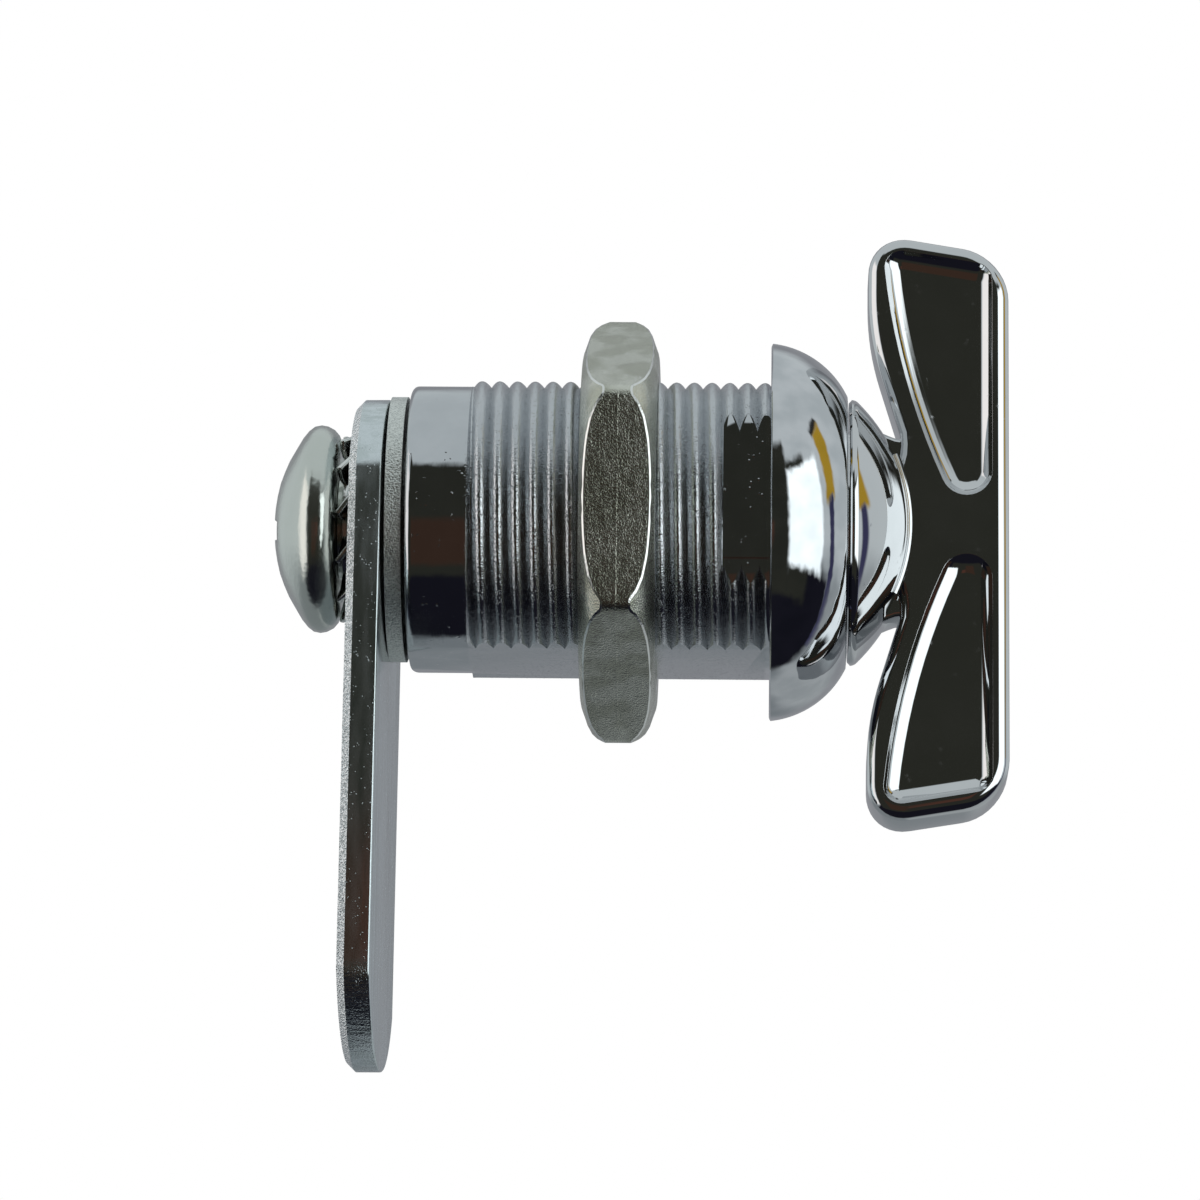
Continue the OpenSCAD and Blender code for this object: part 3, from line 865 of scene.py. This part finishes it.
# %% Turn the screw
SEAT_X = STAR_X - 0.18
SHANK_R, SHANK_L = 3.15, 11
HEAD = ((0, SHANK_R), (0, 5.6), (0.12, 5.9), (0.4, 6.22), (0.8, 6.43), (1.2, 6.5), (1.6, 6.42),
        (1.95, 6.15), (2.3, 5.72), (2.72, 5.02), (3.14, 4.30), (3.45, 3.60), (3.7, 2.93),
        (3.88, 2.2), (4.0, 1.5), (4.07, 0.8), (4.08, 0))
SLOT_HALF_W, SLOT_HALF_SPAN, SLOT_FLOOR = 0.7, 3.1, 1.4
SLOT_TAPER = (1, 0.72, 0.42)
SLOT_TURN = 20

shank = [(SEAT_X + SHANK_L, 0), (SEAT_X + SHANK_L, SHANK_R - 0.45), (SEAT_X + SHANK_L - 0.5, SHANK_R)]
screw = spun("screw", shank + [(SEAT_X - rise, r) for rise, r in HEAD], 96)
for quarter in (0, 1):
    wedge = block((SEAT_X - 5, -SLOT_HALF_W, -SLOT_HALF_SPAN),
                  (SEAT_X - SLOT_FLOOR, SLOT_HALF_W, SLOT_HALF_SPAN))
    edit(wedge)
    pick("FACE", lambda f: f.normal.x > 0.9)
    bpy.ops.transform.resize(value=SLOT_TAPER, center_override=(SEAT_X - 1.6, 0, 0))
    blank()
    wedge.rotation_euler.x = math.radians(90 * quarter + SLOT_TURN)
    wedge.select_set(True)
    bpy.context.view_layer.objects.active = wedge
    bpy.ops.object.transform_apply(location=False, rotation=True, scale=False)
    combine(screw, wedge)
soften(screw, 0.08, 2, 40)
screw = done(screw, "oval_cam_screw", "turn", "cam_screw", smooth_below=40)

# %% [markdown]
# ## Finishes
#
# Four effects recur in the lock's metals, and each is a node group that is built once: broad soft
# clouds, sparse specks, fine parallel lines and a dense grain. Each gives out one number over the
# surface, and each material scales it to its own need. A scale is the number of waves in a metre,
# so the grain of a casting is at 5000 or 6500 and a stain is at a few hundred.

# %% Node groups for wear and grain
def new_group(name, *inputs):
    """An empty node group with a Vector input, the named number inputs and one Value output."""
    group = bpy.data.node_groups.new(name, "ShaderNodeTree")
    group.interface.new_socket("Vector", in_out="INPUT", socket_type="NodeSocketVector")
    for label in inputs:
        group.interface.new_socket(label, in_out="INPUT", socket_type="NodeSocketFloat")
    group.interface.new_socket("Value", in_out="OUTPUT", socket_type="NodeSocketFloat")
    source = group.nodes.new("NodeGroupInput").outputs
    sink = group.nodes.new("NodeGroupOutput").inputs[0]
    return group, source, sink


clouds, source, sink = new_group("soft_clouds", "Scale")
noise = put(clouds, "ShaderNodeTexNoise", source["Vector"], None, source["Scale"], 2.0, 0.5)
clouds.links.new(noise, sink)

specks, source, sink = new_group("sparse_specks", "Scale", "Amount")
cells = put(specks, "ShaderNodeTexVoronoi", source["Vector"], None, source["Scale"])
dots = ramp(specks, cells, 0.10, 0.28, 1, 0)
wide = times(specks, source["Scale"], 0.4)
where = put(specks, "ShaderNodeTexNoise", source["Vector"], None, wide, 1.0)
threshold = put(specks, "ShaderNodeMath", 1.0, source["Amount"], operation="SUBTRACT")
here = put(specks, "ShaderNodeMath", where, threshold, operation="GREATER_THAN")
specks.links.new(times(specks, dots, here), sink)

lines_group, source, sink = new_group("fine_lines", "Along X", "Along Y", "Along Z")
stretch = put(lines_group, "ShaderNodeCombineXYZ", source["Along X"], source["Along Y"],
              source["Along Z"])
scaled = put(lines_group, "ShaderNodeVectorMath", source["Vector"], stretch, operation="MULTIPLY")
noise = put(lines_group, "ShaderNodeTexNoise", scaled, None, 1.0, 3.0, 0.6)
lines_group.links.new(noise, sink)

grain, source, sink = new_group("cast_grain", "Scale")
coarse = put(grain, "ShaderNodeTexNoise", source["Vector"], None, source["Scale"], 4.0, 0.62)
fine = put(grain, "ShaderNodeTexVoronoi", source["Vector"], None, times(grain, source["Scale"], 1.7))
grain.links.new(put(grain, "ShaderNodeMath", coarse, fine, operation="ADD"), sink)


def new_material(name):
    """A metal whose colour, roughness and bump are still to be fed. Gives its tree and shader."""
    made = bpy.data.materials.new(name)
    made.use_nodes = True
    shader = made.node_tree.nodes["Principled BSDF"]
    shader.inputs["Metallic"].default_value = 1.0
    return made, made.node_tree, shader


def effect(tree, group, *values):
    """Places a node group that reads the piece's own coordinates."""
    made = tree.nodes.new("ShaderNodeGroup")
    made.node_tree = group
    place = tree.nodes.new("ShaderNodeTexCoord").outputs["Object"]
    tree.links.new(place, made.inputs[0])
    for socket, value in zip(list(made.inputs)[1:], values):
        socket.default_value = value
    return made.outputs[0]


def own_place(tree):
    """The piece's own X, Y and Z in metres, for an effect that belongs to one part of it."""
    apart = tree.nodes.new("ShaderNodeSeparateXYZ")
    tree.links.new(tree.nodes.new("ShaderNodeTexCoord").outputs["Object"], apart.inputs[0])
    return apart.outputs


def feed(tree, shader, colour, rough):
    """Links a colour and a roughness to the shader."""
    tree.links.new(colour, shader.inputs["Base Color"])
    tree.links.new(rough, shader.inputs["Roughness"])


def bump(tree, shader, height, distance, strength=1.0):
    """Raises the surface by the height, by so many metres at most."""
    made = tree.nodes.new("ShaderNodeBump")
    made.inputs["Strength"].default_value = strength
    made.inputs["Distance"].default_value = distance
    tree.links.new(height, made.inputs["Height"])
    tree.links.new(made.outputs["Normal"], shader.inputs["Normal"])


def weigh(tree, first, share, second):
    """The first number times a share, plus the second."""
    return put(tree, "ShaderNodeMath", first, share, second, operation="MULTIPLY_ADD")

# %% [markdown]
# Chrome on polished zinc is a mirror with a cold tint. It waves very slightly, it has a few dull
# specks, and haze makes its roughness vary. The barrel has the same plating over a coarser casting,
# so on its thread the surface under the chrome is pitted and sparkles, and fine turning lines run
# round the tail. The pad is left out of the pits, because its face was smooth in the mould.

# %% Chrome of the turn and of the barrel
turn_chrome, tree, shader = new_material("mirror_chrome")
haze = effect(tree, clouds, 260.0)
spots = effect(tree, specks, 1500.0, 0.40)
rough = weigh(tree, spots, 0.16, ramp(tree, haze, 0.35, 0.75, 0.025, 0.06))
feed(tree, shader, blend_colours(tree, haze, (0.61, 0.62, 0.63), (0.68, 0.69, 0.70)), rough)
bump(tree, shader, weigh(tree, spots, 0.10, haze), 0.00001, 0.5)

barrel_chrome, tree, shader = new_material("cast_chrome")
place = own_place(tree)
shank = ramp(tree, place["X"], -0.0004, -0.0001, 1, 0)
pad = times(tree, ramp(tree, place["X"], -0.00296, -0.0029),
            ramp(tree, place["Y"], -0.00782, -0.0078, 1, 0))
off_pad = put(tree, "ShaderNodeMath", 1.0, pad, operation="SUBTRACT")
raw = times(tree, times(tree, shank, ramp(tree, place["X"], -0.0188, -0.0184)), off_pad)

haze = effect(tree, clouds, 520.0)
colour = blend_colours(tree, shank, (0.66, 0.67, 0.69), (0.57, 0.59, 0.61))
colour = blend_colours(tree, ramp(tree, haze, 0.35, 0.7), (0.54, 0.56, 0.58), colour)
rough = weigh(tree, raw, 0.02, ramp(tree, haze, 0.3, 0.75, 0.025, 0.05))
feed(tree, shader, colour, rough)

pits = times(tree, effect(tree, grain, 6500.0), raw)
sparks = times(tree, effect(tree, specks, 5000.0, 0.58), raw)
turning = times(tree, effect(tree, lines_group, 8000.0, 350.0, 350.0), shank)
spots = times(tree, effect(tree, specks, 2600.0, 0.40), shank)
height = haze
for layer, share in ((pits, 0.7), (sparks, 2.4), (turning, 0.30), (spots, 0.8)):
    height = weigh(tree, layer, share, height)
bump(tree, shader, height, 0.000025, 0.9)
print("chromes:", turn_chrome.name, barrel_chrome.name)

# %% [markdown]
# The nut keeps the dull, grainy skin of its mould under a thin yellowish plating. The seam of the
# mould runs round it half way along, and tools have left short bright scratches. Its worn edges
# have lost the skin and shine.

# %% Plated zinc of the nut
nut_zinc, tree, shader = new_material("cast_zinc")
skin = effect(tree, grain, 6500.0)
stain = effect(tree, clouds, 430.0)
marks = effect(tree, lines_group, 2600.0, 800.0, 800.0)
colour = blend_colours(tree, ramp(tree, stain, 0.38, 0.62), (0.49, 0.50, 0.42), (0.65, 0.66, 0.585))
colour = blend_colours(tree, ramp(tree, marks, 0.64, 0.74), colour, (0.70, 0.71, 0.66))
feed(tree, shader, colour, ramp(tree, skin, 0.6, 1.3, 0.13, 0.26))

nut_middle = (NUT_X + NUT_T / 2) * MM
off_middle = put(tree, "ShaderNodeMath", own_place(tree)["X"], nut_middle, operation="SUBTRACT")
off_middle = put(tree, "ShaderNodeMath", off_middle, operation="ABSOLUTE")
seam = times(tree, ramp(tree, off_middle, 0.00002, 0.00008, 1, 0), effect(tree, clouds, 2500.0))
height = weigh(tree, marks, -1.6, weigh(tree, seam, 0.6, skin))
bump(tree, shader, height, 0.000024, 1.0)

worn_zinc, tree, shader = new_material("worn_zinc")
rubbed = effect(tree, clouds, 900.0)
feed(tree, shader, blend_colours(tree, rubbed, (0.72, 0.73, 0.70), (0.88, 0.88, 0.86)),
     ramp(tree, rubbed, 0.3, 0.7, 0.10, 0.24))
bump(tree, shader, effect(tree, grain, 5000.0), 0.00001, 0.6)
print("zinc:", nut_zinc.name, worn_zinc.name)

# %% [markdown]
# The cam is plated steel sheet: grey with a green cast and rubbed along its length. A punch leaves
# fine lines across the rim at the heel and torn ridges at the tip, so the rim has those as well.
# The band along its rear edge is coarse and bright.

# %% Plated sheet of the cam
def plated(name, sheared):
    """Plated sheet, streaked along its length. A sheared rim also shows the marks of the punch."""
    made, tree, shader = new_material(name)
    stain = effect(tree, clouds, 240.0)
    rub = effect(tree, lines_group, 900.0, 2600.0, 170.0)
    dots = effect(tree, specks, 6500.0, 0.38)
    colour = blend_colours(tree, stain, (0.50, 0.56, 0.56), (0.62, 0.68, 0.69))
    colour = blend_colours(tree, ramp(tree, rub, 0.38, 0.62), colour, (0.68, 0.74, 0.76))
    feed(tree, shader, colour, weigh(tree, dots, 0.18, ramp(tree, rub, 0.3, 0.7, 0.14, 0.26)))
    height = weigh(tree, dots, -0.6, rub)
    if sheared:
        level = own_place(tree)["Z"]
        tip = ramp(tree, level, -0.0298, -0.0288, 1, 0)
        heel = ramp(tree, level, 0.0034, 0.0040)
        torn = times(tree, effect(tree, grain, 5000.0), tip)
        shear = times(tree, effect(tree, lines_group, 7000.0, 500.0, 500.0), heel)
        ridges = times(tree, effect(tree, lines_group, 500.0, 500.0, 7000.0), tip)
        for layer, share in ((torn, 1.2), (shear, 0.8), (ridges, 2.5)):
            height = weigh(tree, layer, share, height)
    bump(tree, shader, height, 0.00003, 0.7)
    return made


plated_steel = plated("plated_sheet", False)
sheared_steel = plated("sheared_rim", True)

burr_steel, tree, shader = new_material("punched_burr")
flecks = effect(tree, grain, 5200.0)
colour = blend_colours(tree, ramp(tree, flecks, 0.6, 1.1), (0.55, 0.60, 0.60), (0.97, 0.99, 1.0))
feed(tree, shader, colour, ramp(tree, flecks, 0.6, 1.2, 0.10, 0.30))
bump(tree, shader, flecks, 0.00008, 1.0)
print("sheet:", plated_steel.name, sheared_steel.name, burr_steel.name)

# %% [markdown]
# The stop washer's plating is dull and grainy. The star washer is bright spring steel, and the
# screw has a satin plating with faint stains. The rubber ring is hidden in its groove, but it is
# dressed like the rest: a mat black with a little dust.

# %% Steels and rubber
washer_steel, tree, shader = new_material("dull_sheet")
skin = effect(tree, grain, 4500.0)
colour = blend_colours(tree, ramp(tree, skin, 0.6, 1.2), (0.52, 0.55, 0.53), (0.78, 0.81, 0.78))
feed(tree, shader, colour, ramp(tree, skin, 0.6, 1.2, 0.34, 0.50))
bump(tree, shader, skin, 0.00004, 0.9)

bright_steel, tree, shader = new_material("spring_steel")
stain = effect(tree, clouds, 500.0)
colour = blend_colours(tree, stain, (0.66, 0.67, 0.65), (0.82, 0.83, 0.81))
feed(tree, shader, colour, ramp(tree, stain, 0.3, 0.7, 0.07, 0.15))
bump(tree, shader, effect(tree, grain, 2500.0), 0.00001, 0.5)

screw_steel, tree, shader = new_material("satin_steel")
stain = effect(tree, clouds, 230.0)
colour = blend_colours(tree, stain, (0.54, 0.57, 0.53), (0.66, 0.69, 0.65))
feed(tree, shader, colour, ramp(tree, stain, 0.3, 0.7, 0.15, 0.24))
bump(tree, shader, effect(tree, grain, 1700.0), 0.00002, 0.4)

ring_rubber, tree, shader = new_material("black_rubber")
shader.inputs["Metallic"].default_value = 0.0
dust = effect(tree, clouds, 700.0)
colour = blend_colours(tree, dust, (0.012, 0.012, 0.012), (0.035, 0.034, 0.033))
feed(tree, shader, colour, ramp(tree, dust, 0.3, 0.7, 0.45, 0.65))
bump(tree, shader, effect(tree, grain, 3000.0), 0.00001, 0.5)

# %% [markdown]
# A piece may already have empty places for finishes, numbered when its edges were softened. Those
# are filled in order, and the others get a place of their own. The rubber ring is carried over from
# the CAD model, so only its finish changes.

# %% Dress the pieces
for piece, *finishes in ((barrel, barrel_chrome), (turn, turn_chrome), (nut, nut_zinc, worn_zinc),
                         (stop, washer_steel), (cam, plated_steel, burr_steel, sheared_steel),
                         (star, bright_steel), (screw, screw_steel)):
    for number, finish in enumerate(finishes):
        if number < len(piece.data.materials):
            piece.data.materials[number] = finish
        else:
            piece.data.materials.append(finish)
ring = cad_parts["o_ring"]
ring.data.materials.clear()
ring.data.materials.append(ring_rubber)
print("materials:", sorted(m.name for m in bpy.data.materials if m.users))

# %% [markdown]
# The visible pieces must fill the same box as the solids, so both boxes are kept and compared.

# %% Compare the boxes and finish
dressed_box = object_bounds()
growth = [round((b - a) / MM, 3) for box in zip(cad_box, dressed_box) for a, b in zip(*box)]
print("change of the box in mm, low corner then high:", growth)
